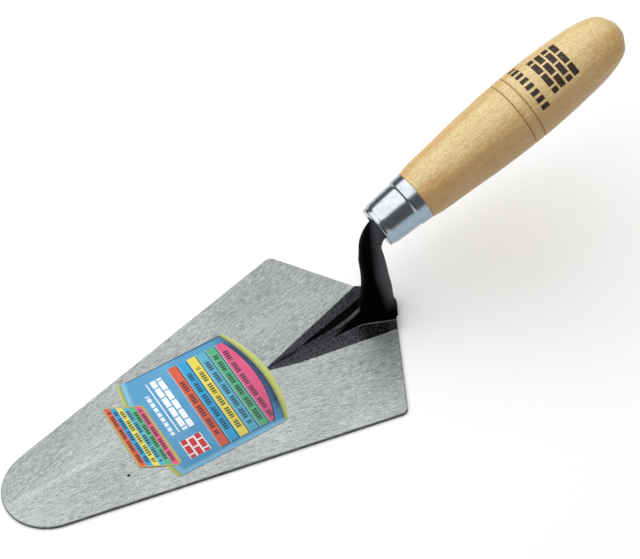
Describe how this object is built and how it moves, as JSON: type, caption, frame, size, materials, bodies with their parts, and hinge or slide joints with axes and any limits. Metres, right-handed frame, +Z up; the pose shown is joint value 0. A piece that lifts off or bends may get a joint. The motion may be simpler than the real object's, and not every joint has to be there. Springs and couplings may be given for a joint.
{
  "type": "brick trowel",
  "caption": "Brick trowel with a flat tapered blade, V-shaped heel, raised boss, cranked shank, stepped ferrule and turned wooden handle.",
  "frame": {"origin": "on the flat underside of the blade, on its centre line, halfway between the tip and the point of the heel", "axes": "+X from the blade's tip towards the butt of the handle, +Y to the side, +Z up, away from the face that spreads mortar; -Z is the outward normal of the blade's underside"},
  "size_m": [0.3286, 0.1166, 0.1041],
  "materials": {
    "forged_steel": "ground bare steel on the blade, satin black lacquer on the boss and shank",
    "zinc_ferrule": "bright zinc plate",
    "beech": "clear varnish",
    "label_film": "glossy printed film",
    "label_stripe_film": "glossy printed film"
  },
  "bodies": {
    "root": {"blade_forging": "forged_steel", "ferrule": "zinc_ferrule", "handle": "beech", "label_main": "label_film", "label_stripes": "label_stripe_film"}
  },
  "joints": []
}
